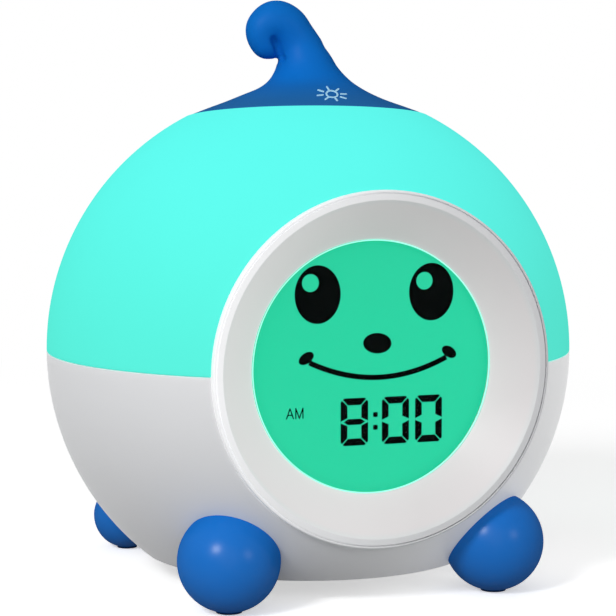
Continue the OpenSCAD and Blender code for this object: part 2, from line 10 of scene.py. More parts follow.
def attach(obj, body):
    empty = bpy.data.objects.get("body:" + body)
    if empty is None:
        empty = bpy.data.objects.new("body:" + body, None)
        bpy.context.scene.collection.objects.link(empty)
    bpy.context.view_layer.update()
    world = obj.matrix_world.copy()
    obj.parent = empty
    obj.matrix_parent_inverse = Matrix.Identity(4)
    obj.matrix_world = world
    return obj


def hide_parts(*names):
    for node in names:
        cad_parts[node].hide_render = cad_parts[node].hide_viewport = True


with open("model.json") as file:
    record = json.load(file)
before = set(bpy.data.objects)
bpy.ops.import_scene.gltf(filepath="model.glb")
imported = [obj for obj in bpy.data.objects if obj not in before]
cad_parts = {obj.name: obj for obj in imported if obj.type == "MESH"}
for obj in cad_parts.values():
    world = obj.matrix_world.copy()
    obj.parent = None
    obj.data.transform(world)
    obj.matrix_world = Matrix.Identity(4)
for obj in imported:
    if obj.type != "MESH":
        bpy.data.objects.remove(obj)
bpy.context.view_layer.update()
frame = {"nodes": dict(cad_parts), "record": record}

# Shapes are drawn in millimetres round the middle of the ball: x to the viewer's
# right, y to the back, z up. finish_piece() takes them to their place in metres.
MM = 0.001
MIDDLE = Vector((0, 0, 51.4))

BALL_R = 60
WALL = 2.2
OPENING_R = 38
SEAM = 0.06
EDGE_R = 0.2
BELLY_Z = -46.4
STEM_HOLE_H = 52.99
# sunk wells of the four case screws, and the hole that each ends in
WELLS = [(-26, -20), (26, -20), (-26, 22), (26, 22)]
WELL_R, WELL_HOLE_R = 2.9, 1.6
WELL_TOP_Z = -13

# points of a turned profile: radius, and height out from the middle of the ball
RIM_R = 37.9
LIP = [(RIM_R, 43.4), (RIM_R, 47.96), (35.8, 47.96)]
# fine groove just inside the lip's edge
GROOVE = [(37.42, 47.96), (37.36, 47.3), (37.16, 47.3), (37.10, 47.96)]
WINDOW_R = 27.2
DISPLAY_H = 39.3

# where the clock is looked at from, and what is right and up from there
CAMERA = Vector((-162.86, -448.37, 53.34))
CAMERA_TURN, CAMERA_RISE = -19.96, 6.38
VIEW_RIGHT, VIEW_UP = Vector((0.94, -0.34, 0)), Vector((0, 0, 1))

# the stem's lean
LEAN = (Matrix.Rotation(math.radians(1.5), 4, "Y")
        @ Matrix.Rotation(math.radians(-5.4), 4, "X"))
# local x, y and z of a flat drawing, seen from the front and from behind
FRONT = Matrix(((1, 0, 0, 0), (0, 0, -1, 0), (0, 1, 0, 0), (0, 0, 0, 1)))
BACK = Matrix(((-1, 0, 0, 0), (0, 0, 1, 0), (0, 1, 0, 0), (0, 0, 0, 1)))


# --- finishes ----------------------------------------------------------------
class Flow:
    """A node's output. Arithmetic on it adds Math nodes."""

    def __init__(self, recipe, socket):
        self.recipe = recipe
        self.socket = socket

    def _math(self, operation, first, second):
        return self.recipe.node("Math", {"operation": operation}, {0: first, 1: second})

    def __add__(self, other):
        return self._math("ADD", self, other)

    def __radd__(self, other):
        return self._math("ADD", other, self)

    def __sub__(self, other):
        return self._math("SUBTRACT", self, other)

    def __rsub__(self, other):
        return self._math("SUBTRACT", other, self)

    def __mul__(self, other):
        return self._math("MULTIPLY", self, other)

    def __rmul__(self, other):
        return self._math("MULTIPLY", other, self)

    def at_least(self, other):
        return self._math("MAXIMUM", self, other)

    def above(self, other):
        return self._math("GREATER_THAN", self, other)


class Recipe:
    """The nodes of one finish, or of the world."""

    def __init__(self, owner):
        owner.use_nodes = True
        self.owner = owner
        self.nodes = owner.node_tree.nodes
        self.links = owner.node_tree.links

    def put(self, socket, value):
        """Links a flow to a socket, or sets its value; a colour gets its alpha."""
        if isinstance(value, Flow):
            self.links.new(value.socket, socket)
        elif isinstance(value, (int, float)) or len(value) == len(socket.default_value):
            socket.default_value = value
        else:
            socket.default_value = (*value, 1)

    def node(self, kind, settings=None, values=None, out=0):
        """Any node: its type, its settings, and values or flows for its sockets. A
        ramp's "stops" are pairs of a place and a colour, two or more of them."""
        made = self.nodes.new("ShaderNode" + kind)
        for key, value in (settings or {}).items():
            if key == "stops":
                ramp = made.color_ramp
                for (spot, colour), stop in zip(value, ramp.elements):
                    stop.position = spot
                    stop.color = (*colour, 1)
                for spot, colour in value[len(ramp.elements):]:
                    ramp.elements.new(spot).color = (*colour, 1)
            else:
                setattr(made, key, value)
        for key, value in (values or {}).items():
            self.put(made.inputs[key], value)
        return Flow(self, made.outputs[out])

    def mix(self, share, first, second):
        return self.node("Mix", {"data_type": "RGBA"}, {0: share, 6: first, 7: second}, out=2)

    def place(self):
        return self.node("TexCoord", out=3)

    def coordinates(self):
        """x, y and z of a place on the piece, in metres."""
        split = self.node("SeparateXYZ", None, {0: self.place()})
        return [Flow(self, output) for output in split.socket.node.outputs]

    def distance(self, first, second):
        return self.node("Math", {"operation": "SQRT"}, {0: first * first + second * second})

    def scaled(self, colour, factor):
        return self.node("VectorMath", {"operation": "SCALE"}, {0: colour, 3: factor})

    def seen(self):
        """1 where a camera, gloss or glass looks, 0 for light on the clock."""
        rays = self.node("LightPath").socket.node.outputs
        return (Flow(self, rays["Is Camera Ray"]) + Flow(self, rays["Is Glossy Ray"])
                + Flow(self, rays["Is Transmission Ray"]))

    def noise(self, size_mm, detail=2, rough=0.5):
        return self.node("TexNoise", None, {
            "Vector": self.place(), "Scale": 1 / (size_mm * MM), "Detail": detail,
            "Roughness": rough})

    def smooth_step(self, value, low, high):
        return self.node("MapRange", {"interpolation_type": "SMOOTHSTEP"},
                         {"Value": value, "From Min": low, "From Max": high})

    def bump(self, height, depth_mm, strength=1.0, under=None):
        values = {"Height": height, "Distance": depth_mm * MM, "Strength": strength}
        if under:
            values["Normal"] = under
        return self.node("Bump", None, values)

    def shader(self, values):
        shader = self.nodes["Principled BSDF"]
        for key, value in values.items():
            self.put(shader.inputs[key], value)
        return self.owner


def shade(colour, factor):
    """A lighter or darker tone of a colour."""
    return tuple(min(1.0, c * factor) for c in colour)


def new_recipe(name):
    return Recipe(bpy.data.materials.new(name))


def moulded(name, colour, roughness, specular=0.4, grain_mm=0.22, grain_depth=0.006,
            mottle=0.04, extra=None):
    """Moulded plastic: fine spark-eroded grain, slow flow marks and uneven gloss."""
    r = new_recipe(name)
    fine = r.noise(grain_mm, detail=3, rough=0.6)
    slow = r.noise(14, detail=2)
    cloud = r.noise(3.5, detail=2)
    values = {
        "Base Color": r.mix(slow, shade(colour, 1 - mottle), shade(colour, 1 + mottle)),
        "Roughness": roughness + 0.10 * (fine - 0.5) + 0.08 * (cloud - 0.5),
        "Specular IOR Level": specular,
        "Normal": r.bump(fine, grain_depth, under=r.bump(slow, 0.02, 0.6)),
    }
    values.update(extra or {})
    return r.shader(values)


def white_with_painted_light(name, light):
    """Moulded white with painted light: an emission that brightens it by place, as lamps
    would. light(recipe) gives the strength of that painted light and the white's colour."""
    r = new_recipe(name)
    strength, colour = light(r)
    fine = r.noise(0.22, detail=3, rough=0.6)
    slow = r.noise(14, detail=2)
    return r.shader({
        "Base Color": r.scaled(colour, 0.988 + 0.024 * slow),
        "Roughness": 0.42 + 0.10 * (fine - 0.5) + 0.08 * (slow - 0.5),
        "Specular IOR Level": 0.35,
        # painted light: emission that brightens the white by place
        "Emission Color": r.scaled((1.0, 1.0, 1.0), strength),
        "Emission Strength": 1.0,
        "Normal": r.bump(fine, 0.006, under=r.bump(slow, 0.02, 0.6)),
    })


def housing_painted_light(r):
    """Painted light on the lower shell: stronger towards the seam, much stronger towards the
    right.
    """
    x, y, z = r.coordinates()
    rise = r.smooth_step(z, 0.0, 0.051)
    right = r.smooth_step(VIEW_RIGHT.x * x + VIEW_RIGHT.y * y, -0.002, 0.058)
    return 0.02 + 0.04 * rise + 0.24 * right, WHITE_SHELL


def frame_painted_light(r):
    """Painted light on the front frame: stronger towards the left, weaker towards the bottom;
    the bowl gets a warm tint, painted against the green light that the window throws on it."""
    x, _, z = r.coordinates()
    left = r.smooth_step(0 - x, -0.041, 0.041)
    up = z - MIDDLE.z * MM
    low = r.smooth_step(0 - up, 0.0, 0.034)
    near = 1 - r.smooth_step(r.distance(x, up), 0.0345, 0.0362)
    return (0.33 * left - 0.11 * low).at_least(0.0), r.mix(near, WHITE_SHELL, GREEN_CANCELLING_WHITE)


def satin_stem(name):
    """Satin blue; at the flared foot a duller blue, a painted reflection of the dome's light.
    """
    r = new_recipe(name)
    fine = r.noise(0.22, detail=3, rough=0.6)
    slow = r.noise(14, detail=2)
    rise = r.smooth_step(r.coordinates()[2], 0.1065, 0.1145)
    return r.shader({
        "Base Color": r.scaled(r.mix(rise, FOOT_BLUE_PAINTED_REFLECTION, BLUE), 0.94 + 0.12 * slow),
        "Roughness": 0.55 + 0.10 * (fine - 0.5),
        "Specular IOR Level": 0.0,
        "Coat Weight": 0.014,
        "Coat IOR": 4.0,
        "Coat Roughness": 0.45,
        "Normal": r.bump(fine, 0.006, under=r.bump(slow, 0.02, 0.6)),
    })


def lit_dome(name):
    """Milky plastic with the lamp's colour in it: the glow is stronger near the top,
    where the lamps are closest to the wall, and falls off towards the seam."""
    r = new_recipe(name)
    fine = r.noise(0.25, detail=3, rough=0.6)
    slow = r.noise(22, detail=2)
    rise = r.smooth_step(r.coordinates()[2], 0.051, 0.106)
    low = r.mix(slow, (0.080, 0.630, 0.495), (0.086, 0.660, 0.515))
    high = r.mix(slow, (0.090, 0.695, 0.620), (0.096, 0.725, 0.650))
    return r.shader({
        "Base Color": (0.025, 0.28, 0.26),
        "Roughness": 0.38 + 0.10 * (fine - 0.5) + 0.06 * (slow - 0.5),
        "Specular IOR Level": 0.0,
        "Emission Color": r.mix(rise, low, high),
        "Emission Strength": 1.0,
        "Normal": r.bump(fine, 0.004),
    })


def lit_display(name):
    """Backlit liquid crystal: an even green field, a little darker at its rim and top,
    with the fine diffuser grain of the light box behind it."""
    r = new_recipe(name)
    across, _, z = r.coordinates()
    up = z - MIDDLE.z * MM
    edge = r.smooth_step(r.distance(across, up), 0.0245, 0.0275)
    top = r.smooth_step(up, 0.005, 0.030)
    grain = r.noise(0.5, detail=2)
    field = r.mix(grain, (0.012, 0.640, 0.340), (0.017, 0.680, 0.370))
    field = r.mix(edge * 0.35, field, (0.012, 0.520, 0.270))
    field = r.mix(top * 0.25, field, (0.016, 0.560, 0.300))
    return r.shader({
        "Base Color": (0.01, 0.05, 0.04),
        "Roughness": 0.35 + 0.1 * grain,
        "Specular IOR Level": 0.1,
        "Emission Color": field,
        "Emission Strength": 1.0,
    })


def clear_plastic(name):
    """Clear sheet with the faintest smears."""
    r = new_recipe(name)
    smear = r.noise(6, detail=3)
    return r.shader({
        "Base Color": (0.003, 0.015, 0.012),
        "Roughness": 0.04 + 0.06 * smear,
        "Alpha": 0.03 + 0.01 * smear,
        "Specular IOR Level": 0.5,
    })


def painted_edge_glow(name, colour):
    """Cut edge of a clear plate, made to glow: a painted highlight round the window."""
    r = new_recipe(name)
    speck = r.noise(0.8, detail=1)
    return r.shader({
        "Base Color": (0.2, 0.6, 0.5),
        "Roughness": 0.3 + 0.1 * speck,
        "Emission Color": r.mix(speck, shade(colour, 0.92), colour),
        "Emission Strength": 0.8,
    })


def plated(name, colour):
    """Zinc-plated steel: fine turning marks and faint stains."""
    r = new_recipe(name)
    stain = r.noise(2.5, detail=4, rough=0.6)
    scratch = r.noise(0.12, detail=2)
    return r.shader({
        "Base Color": r.mix(stain, shade(colour, 0.82), colour),
        "Metallic": 1.0,
        "Roughness": 0.32 + 0.18 * (stain - 0.5) + 0.1 * (scratch - 0.5),
        "Normal": r.bump(scratch, 0.004),
    })


def circuit(name, mask, trace):
    """Circuit board: solder mask with the raised copper tracks under it."""
    r = new_recipe(name)
    track = r.node("TexBrick", {"offset": 0.35}, {
        "Vector": r.place(), "Scale": 160.0, "Mortar Size": 0.03,
        "Color1": mask, "Color2": shade(mask, 0.9), "Mortar": trace})
    lines = Flow(r, track.socket.node.outputs[1])
    return r.shader({
        "Base Color": track,
        "Roughness": 0.30 + 0.15 * r.noise(1.5),
        "Normal": r.bump(lines, 0.03),
    })


def pressed_pulp(name, colour):
    """Pressed paper pulp: matt, with its fibres showing."""
    r = new_recipe(name)
    fibre = r.noise(0.4, detail=5, rough=0.7)
    return r.shader({
        "Base Color": r.mix(fibre, shade(colour, 0.7), shade(colour, 1.3)),
        "Roughness": 0.85 - 0.1 * fibre,
        "Specular IOR Level": 0.2,
        "Normal": r.bump(fibre, 0.05),
    })


BLUE = (0.003, 0.147, 0.545)
# duller blue at the stem's foot: a painted reflection of the dome's light
FOOT_BLUE_PAINTED_REFLECTION = (0.018, 0.135, 0.38)
# a faint even gloss that stays low at the edges
THIN_GLOSS = {"Coat Weight": 0.05, "Coat IOR": 4.0, "Coat Roughness": 0.29}
WHITE_SHELL = (0.70, 0.705, 0.72)
# warm tint painted on the bowl near the window, to cancel the window's green light there
GREEN_CANCELLING_WHITE = (0.75, 0.70, 0.715)

FINISHES = {
    "shell_white": moulded("moulded white shell", WHITE_SHELL, 0.42, 0.35, mottle=0.012),
    "dome_teal": lit_dome("lit milky dome"),
    "toy_blue": moulded("soft blue moulding", BLUE, 0.50, 0.0, mottle=0.06,
                        extra=THIN_GLOSS),
    "clear_window": clear_plastic("clear window"),
    "display_green": lit_display("lit display"),
    "diffuser_white": moulded("matt white moulding", (0.75, 0.75, 0.75), 0.65, mottle=0.02),
    "dark_plastic": moulded("dark grey moulding", (0.012, 0.012, 0.013), 0.55, mottle=0.1),
    "board_green": circuit("green circuit board", (0.01, 0.10, 0.03), (0.03, 0.20, 0.07)),
    "board_white": circuit("white circuit board", (0.72, 0.72, 0.70), (0.78, 0.76, 0.66)),
    "led_body": moulded("lamp body", (0.80, 0.78, 0.45), 0.25, mottle=0.05),
    "plated_steel": plated("plated steel", (0.56, 0.57, 0.58)),
    "cone_paper": pressed_pulp("speaker cone pulp", (0.02, 0.02, 0.02)),
    "cell_wrap": moulded("cell sleeve", (0.01, 0.06, 0.32), 0.3, mottle=0.05),
    "wire_black": moulded("black insulation", (0.01, 0.01, 0.01), 0.5, mottle=0.1),
    "wire_red": moulded("red insulation", (0.35, 0.01, 0.01), 0.5, mottle=0.08),
    "cable_grey": moulded("grey insulation", (0.50, 0.50, 0.54), 0.5, mottle=0.04),
    # dark blue rubber pads; their darkness is also painted shade under each foot
    "pad_rubber": moulded("blue rubber", (0.006, 0.035, 0.12), 0.8, 0.1, 0.35, 0.03, 0.08),
}
STEM_BLUE = satin_stem("satin blue moulding")
# lower shell: white with painted light, stronger towards the seam and the right
HOUSING_WHITE_PAINTED_LIGHT = white_with_painted_light("white shell with painted light", housing_painted_light)
# front frame: white with painted light, stronger towards the left and weaker at the bottom
FRAME_WHITE_PAINTED_LIGHT = white_with_painted_light("white frame with painted light", frame_painted_light)
SEGMENT_BLACK = moulded("display segment black", (0.001, 0.001, 0.001), 0.6, 0.0,
                        mottle=0.2)
# painted highlight: a glowing ring round the window's edge
PAINTED_EDGE_GLOW = painted_edge_glow("painted highlight at window edge", (0.36, 0.95, 0.75))
PALE_PRINT = moulded("pale blue print", (0.38, 0.72, 0.95), 0.5, 0.2, mottle=0.05)
ICON_PRINT = moulded("icon print", (0.60, 0.68, 0.78), 0.5, 0.25, mottle=0.03)


# --- shaping helpers -----------------------------------------------------------
def new_object(name, data):
    """Adds an object to the scene."""
    made = bpy.data.objects.new(name, data)
    bpy.context.scene.collection.objects.link(made)
    return made


def finish_piece(name, shape, slot, stands_for=None, body="clock", finish=None, sharp=35):
    """Turns a drawing into a finished piece that rides on its body."""
    shape.transform(Matrix.Scale(MM, 4) @ Matrix.Translation(MIDDLE))
    mesh = bpy.data.meshes.new(name)
    shape.to_mesh(mesh)
    shape.free()
    mesh.shade_smooth()
    mesh.set_sharp_from_angle(angle=math.radians(sharp))
    mesh.materials.append(finish or FINISHES[slot])
    made = new_object(name, mesh)
    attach(made, body)
    if stands_for:
        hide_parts(stands_for)


def arc(middle, radius, start, end, steps):
    """Points on a circle, angles in degrees."""
    turn = [math.radians(start + (end - start) * k / steps) for k in range(steps + 1)]
    return [(middle[0] + radius * math.cos(a), middle[1] + radius * math.sin(a))
            for a in turn]


def rounded(line, radius=0.35, steps=5, hold=0.05):
    """Line with rounded inner corners. A point just beyond each end of an arc keeps
    the straights evenly shaded."""
    line = [Vector(point) for point in line]
    points = line[:1]
    for before, at, after in zip(line, line[1:], line[2:]):
        back, on = (before - at).normalized(), (after - at).normalized()
        half = back.angle(on) / 2
        reach = radius / math.tan(half)
        middle = at + (back + on).normalized() * (radius / math.sin(half))
        start, end = at + back * reach - middle, at + on * reach - middle
        points.append(at + back * (reach + hold))
        points += [middle + start.slerp(end, k / steps) * radius for k in range(steps + 1)]
        points.append(at + on * (reach + hold))
    return [tuple(point) for point in points + line[-1:]]


def turned(profile, steps=192, closed=True, placed=FRONT):
    """Piece of revolution of (radius, height) points, turned about z and then placed."""
    shape = bmesh.new()
    at = [shape.verts.new((r, 0, h)) for r, h in profile]
    pairs = list(zip(at, at[1:])) + ([(at[-1], at[0])] if closed else [])
    edges = [shape.edges.new(pair) for pair in pairs]
    bmesh.ops.spin(shape, geom=at + edges, cent=(0, 0, 0), axis=(0, 0, 1), dvec=(0, 0, 0),
                   angle=2 * math.pi, steps=steps, use_merge=True, use_duplicate=False)
    bmesh.ops.remove_doubles(shape, verts=shape.verts, dist=1e-4)
    bmesh.ops.recalc_face_normals(shape, faces=shape.faces)
    shape.transform(placed)
    return shape


def cut_away(shape, point, outward):
    """Removes what lies beyond a plane."""
    whole = shape.verts[:] + shape.edges[:] + shape.faces[:]
    return bmesh.ops.bisect_plane(shape, geom=whole, dist=1e-5, plane_co=point,
                                  plane_no=outward, clear_outer=True)["geom_cut"]


def loop_of(shape, radius, at, steps, scale=(1, 1), turn=0):
    """Flat ring of vertices and edges; returns its vertices."""
    place = (Matrix.Translation(at) @ Matrix.Rotation(math.radians(turn), 4, "Z")
             @ Matrix.Diagonal((scale[0], scale[1], 1, 1)))
    return bmesh.ops.create_circle(shape, segments=steps, radius=radius,
                                   matrix=place)["verts"]


def edges_among(verts):
    """Edges that join two of these vertices."""
    known = set(verts)
    return list({e for v in verts for e in v.link_edges if e.other_vert(v) in known})


def verts_in(geom):
    """The vertices among what an operator made."""
    return [g for g in geom if isinstance(g, bmesh.types.BMVert)]


def edges_in(geom):
    """The edges among what an operator made."""
    return [g for g in geom if isinstance(g, bmesh.types.BMEdge)]


def fill(shape, edges, up):
    """Fills between flat outlines, which may lie inside each other."""
    bmesh.ops.triangle_fill(shape, use_beauty=True, use_dissolve=False, edges=edges,
                            normal=(0, 0, up))


def bevel(shape, edges, size, segments):
    """Rounds edges off."""
    bmesh.ops.bevel(shape, geom=edges, offset=size, segments=segments, profile=0.5,
                    affect="EDGES", material=-1)


def smooth(shape, verts):
    """Evens vertices out among their neighbours."""
    bmesh.ops.smooth_vert(shape, verts=verts, factor=0.5, use_axis_x=True,
                          use_axis_y=True, use_axis_z=True)


def box(shape, middle, size):
    """Block."""
    bmesh.ops.create_cube(shape, size=1, matrix=Matrix.Translation(middle)
                          @ Matrix.Diagonal((*size, 1)))


def raise_flat(shape, height):
    """Gives flat faces a thickness and closes them into solids."""
    made = bmesh.ops.extrude_face_region(shape, geom=shape.faces[:])["geom"]
    bmesh.ops.translate(shape, verts=verts_in(made), vec=(0, 0, height))
    bmesh.ops.recalc_face_normals(shape, faces=shape.faces)


def oval(shape, at, half, turn=0, steps=48):
    """Flat oval face."""
    ring = loop_of(shape, 1, (*at, 0), steps, half, turn)
    return shape.faces.new(ring)


def bar(shape, start, end, width, steps=16):
    """Flat bar with round ends."""
    start, end = Vector((*start, 0)), Vector((*end, 0))
    along = end - start
    turn = math.degrees(math.atan2(along.y, along.x))
    ring = loop_of(shape, width / 2, start, steps, turn=turn + 180 / steps)
    for vert in ring:
        if (vert.co - start).dot(along) > 0:
            vert.co += along
    return shape.faces.new(ring)


def plate(shape, points):
    """Flat face through a few points."""
    return shape.faces.new([shape.verts.new((*p, 0)) for p in points])


def stroke(shape, points, width):
    """Flat strip along a line of points."""
    middle = [Vector((*p, 0)) for p in points]
    last = len(middle) - 1

    def side(k):
        along = middle[min(k + 1, last)] - middle[max(k - 1, 0)]
        return Vector((-along.y, along.x, 0)).normalized() * width / 2

    first = [shape.verts.new(middle[0] - side(0)), shape.verts.new(middle[0] + side(0))]
    edge = shape.edges.new(first)
    for k in range(1, last + 1):
        grown = bmesh.ops.extrude_edge_only(shape, edges=[edge])["geom"]
        edge = edges_in(grown)[0]
        ends = sorted(verts_in(grown), key=lambda v: (v.co - middle[k - 1]).dot(side(k - 1)))
        ends[0].co = middle[k] - side(k)
        ends[1].co = middle[k] + side(k)


def blend4(a, b, c, d, t):
    """Point between b and c on a smooth run through all four."""
    return [0.5 * (2 * q + (r - p) * t + (2 * p - 5 * q + 4 * r - s) * t * t
                   + (3 * q - p - 3 * r + s) * t ** 3)
            for p, q, r, s in zip(a, b, c, d)]


def smooth_line(points, steps):
    """Smooth run through the points, with some steps between two of them."""
    last = len(points) - 1
    run = [blend4(points[max(i - 1, 0)], points[i], points[i + 1],
                  points[min(i + 2, last)], k / steps)
           for i in range(last) for k in range(steps)]
    return run + [list(points[-1])]


# --- shells --------------------------------------------------------------------
def ball_skin():
    """Skin of the ball between its front and back openings."""
    start = math.degrees(math.asin(OPENING_R / BALL_R))
    profile = arc((0, 0), BALL_R, 90 - start, start - 90, 90)
    return turned(profile, closed=False)


def thicken(shape, wall):
    """Gives a skin its wall, inwards."""
    bmesh.ops.recalc_face_normals(shape, faces=shape.faces)
    bmesh.ops.solidify(shape, geom=shape.faces[:], thickness=wall)


def soften_rims(shape, size, belongs):
    """Small radius along the outer edges of a wall's rims."""
    edges = [e for e in shape.edges if len(e.link_faces) == 2
             and e.calc_face_angle() > 0.9 and all(belongs(v.co) for v in e.verts)]
    bevel(shape, edges, size, 3)


def on_straight_rim(co):
    """On the ball's face, along the seam or a round opening."""
    return co.length > BALL_R - 0.05 and (abs(co.z) < 0.1 or co.xz.length < OPENING_R + 0.05)


def make_dome():
    """Upper half of the ball, open where the stem leans in its ring."""
    shape = ball_skin()
    cut_away(shape, (0, 0, SEAM), (0, 0, -1))
    up = LEAN.to_3x3() @ Vector((0, 0, 1))
    cut_away(shape, up * STEM_HOLE_H, up)
    thicken(shape, WALL)
    soften_rims(shape, EDGE_R, on_straight_rim)
    finish_piece("dome_shell", shape, "dome_teal", "light_dome")


def make_lower_shell():
    """Lower half of the ball, with a flat belly and the screw wells in it."""
    shape = ball_skin()
    cut_away(shape, (0, 0, -SEAM), (0, 0, 1))
    cut = cut_away(shape, (0, 0, BELLY_Z), (0, 0, -1))
    wells = [loop_of(shape, WELL_R, (x, y, BELLY_Z), 32) for x, y in WELLS]
    fill(shape, edges_in(cut) + [e for ring in wells for e in edges_among(ring)], -1)
    for (x, y), ring in zip(WELLS, wells):
        wall_edges = edges_among(ring)
        for lift, squeeze in ((WELL_TOP_Z - BELLY_Z, 1), (0, WELL_HOLE_R / WELL_R)):
            grown = bmesh.ops.extrude_edge_only(shape, edges=wall_edges)["geom"]
            ring = verts_in(grown)
            wall_edges = edges_among(ring)
            bmesh.ops.translate(shape, verts=ring, vec=(0, 0, lift))
            bmesh.ops.scale(shape, verts=ring, vec=(squeeze, squeeze, 1),
                            space=Matrix.Translation((-x, -y, 0)))
    thicken(shape, WALL)
    soften_rims(shape, EDGE_R, on_straight_rim)
    finish_piece("lower_shell", shape, "shell_white", "lower_housing", finish=HOUSING_WHITE_PAINTED_LIGHT)


# --- front frame, window and display ---------------------------------------------
def make_front_frame():
    """Round frame: a flat lip, a straight cone down to the window, a hidden flange."""
    profile = [(RIM_R - 2, 39.5), (40.4, 39.5), (40.4, 41.1)]
    edge = rounded(LIP + [(WINDOW_R, 40.58), (WINDOW_R, 39.9)])
    inner = next(k for k, (r, h) in enumerate(edge) if r < GROOVE[0][0] and h > 47.9)
    profile += edge[:inner] + GROOVE + edge[inner:]
    profile += [(29.7, 39.9), (29.7, 39.3), (31.8, 39.3), (35.9, 42.4)]
    shape = turned(profile, 256)
    finish_piece("front_frame", shape, "shell_white", "front_bezel", finish=FRAME_WHITE_PAINTED_LIGHT,
                 sharp=30)


def make_window():
    """Clear round window, and a thin glowing ring along its cut edge, a painted highlight."""
    profile = [(0, 39.42), (29.6, 39.42), (29.6, 39.88), (27.12, 39.88)]
    profile += arc((26.92, 40.6), 0.2, 0, 90, 4) + [(0, 40.8)]
    finish_piece("window", turned(profile, 192, closed=False), "clear_window",
                 "display_lens")
    ring = turned(arc((27.06, 40.76), 0.13, 0, 330, 11), 192)
    finish_piece("window_edge_painted_highlight", ring, "display_green", finish=PAINTED_EDGE_GLOW)


SEGMENTS_H = DISPLAY_H + 0.01
SEGMENT_T = 0.05


def on_display(name, draw):
    """A flat drawing, raised a little from the display."""
    shape = bmesh.new()
    draw(shape)
    raise_flat(shape, SEGMENT_T)
    shape.transform(FRONT @ Matrix.Translation((0, 0, SEGMENTS_H)))
    finish_piece(name, shape, "dark_plastic", finish=SEGMENT_BLACK)


def eye(at, half, spark_at, spark_r):
    """Dark oval with a round light spot left open in it."""
    def draw(shape):
        edges = []
        for ring in (loop_of(shape, 1, (*at, 0), 72, half),
                     loop_of(shape, spark_r, (*spark_at, 0), 40)):
            edges += edges_among(ring)
        fill(shape, edges, 1)
    return draw


def smile(shape):
    """Plain curved line."""
    left, right, low, lift = -14.0, 17.55, -2.46, 3.75
    mid, reach = (left + right) / 2, (right - left) / 2
    line = [(mid + reach * k / 20, low + lift * (k / 20) ** 2) for k in range(-20, 21)]
    stroke(shape, line, 1.15)


def smile_ends(shape):
    """An oval at each end of the smile."""
    oval(shape, (-14.68, 2.25), (1.85, 1.15), 32)
    oval(shape, (18.2, 2.4), (1.85, 1.15), -32)


DIGIT_W, DIGIT_H, DIGIT_S = 6.28, 10.24, 1.55


def digit(shape, left, foot, middle_bar):
    """Seven-segment figure: all outer bars, and the middle one where it is lit.
    gap lies between two bars, corner cuts the outer corners, half is half the
    height of the middle bar."""
    w, h, s = DIGIT_W, DIGIT_H, DIGIT_S
    gap, corner, half = 0.11, 0.78, 0.74
    m = h / 2
    c = corner / 2
    top = [(c + gap, h - c + gap), (corner, h), (w - corner, h), (w - c - gap, h - c + gap),
           (w - s - gap, h - s + gap * 0.3), (s + gap, h - s + gap * 0.3)]
    upper_left = [(0, h - corner), (c - gap * 0.3, h - c - gap), (s - gap * 0.3, h - s - gap),
                  (s, m + half + gap), (0, m + gap * 1.6)]
    bars = [top, upper_left]
    bars += [[(w - x, y) for x, y in upper_left]]
    bars += [[(x, h - y) for x, y in one] for one in bars]
    if middle_bar:
        tip = 0.62
        bars.append([(tip + gap, m), (s + gap, m + half - gap), (w - s - gap, m + half - gap),
                     (w - tip - gap, m), (w - s - gap, m - half + gap),
                     (s + gap, m - half + gap)])
    for one in bars:
        plate(shape, [(left + x, foot + y) for x, y in one])


def figures(shape):
    """8, 0 and 0."""
    digit(shape, -6.89, -16.94, True)
    digit(shape, 2.58, -17.00, False)
    digit(shape, 10.30, -17.02, False)


def colon(shape):
    """Two square dots with cut corners."""
    x, half, cut = 1.08, 0.53, 0.16
    for z in (-10.48, -13.23):
        plate(shape, [(x + a * (half - p), z + b * (half - q)) for a, b, p, q in
                      ((-1, -1, cut, 0), (1, -1, cut, 0), (1, -1, 0, cut), (1, 1, 0, cut),
                       (1, 1, cut, 0), (-1, 1, cut, 0), (-1, 1, 0, cut), (-1, -1, 0, cut))])


def morning_sign(shape):
    """The two letters beside the hour."""
    foot, head, line = -10.42, -8.32, 0.26
    letter_a = [((-19.10, foot), (-18.33, head)), ((-18.33, head), (-17.56, foot)),
                ((-18.83, foot + 0.72), (-17.83, foot + 0.72))]
    letter_m = [((-17.02, foot), (-17.02, head)), ((-17.02, head), (-16.22, foot)),
                ((-16.22, foot), (-15.42, head)), ((-15.42, head), (-15.42, foot))]
    for start, end in letter_a + letter_m:
        bar(shape, start, end, line, 12)


def make_display():
    on_display("left_eye", eye((-12.10, 15.69), (5.17, 6.21), (-13.74, 18.18), 1.9))
    on_display("right_eye", eye((13.95, 15.58), (5.17, 6.21), (12.33, 17.98), 1.9))
    on_display("nose", lambda shape: oval(shape, (1.48, 4.88), (3.25, 2.2), -4))
    on_display("smile", smile)
    on_display("smile_ends", smile_ends)
    on_display("hour_figures", figures)
    on_display("hour_colon", colon)
    on_display("morning_sign", morning_sign)


# --- stem ------------------------------------------------------------------------
# rings of the flared foot: height, sideways shift, radius
SKIRT = [(50.6, 0, 28), (52.97, 0, 28), (53.9, 0.05, 25.7), (55, 0, 22.85),
         (56.4, 0, 19.15), (58, 0.2, 15.5), (59.6, 0.75, 12.2), (61.2, 0.8, 9.9),
         (63, 0.55, 8.25), (65, 0.15, 7), (67, -0.25, 6.25), (69, -1.05, 5.55),
         (71, -2.3, 4.6)]
# balls along the curl: sideways place, height, radius
CURL = [(-1.05, 68.35, 5.35), (-2.9, 71.35, 5.05), (-4.9, 73.85, 5.15), (-7.5, 74.9, 5),
        (-10.15, 73.5, 4.2), (-10.65, 71.45, 3.6), (-9.85, 69.25, 2.95), (-8, 68.65, 2.25)]
STEM_VOXEL, STEM_SMOOTHINGS = 0.4, 10
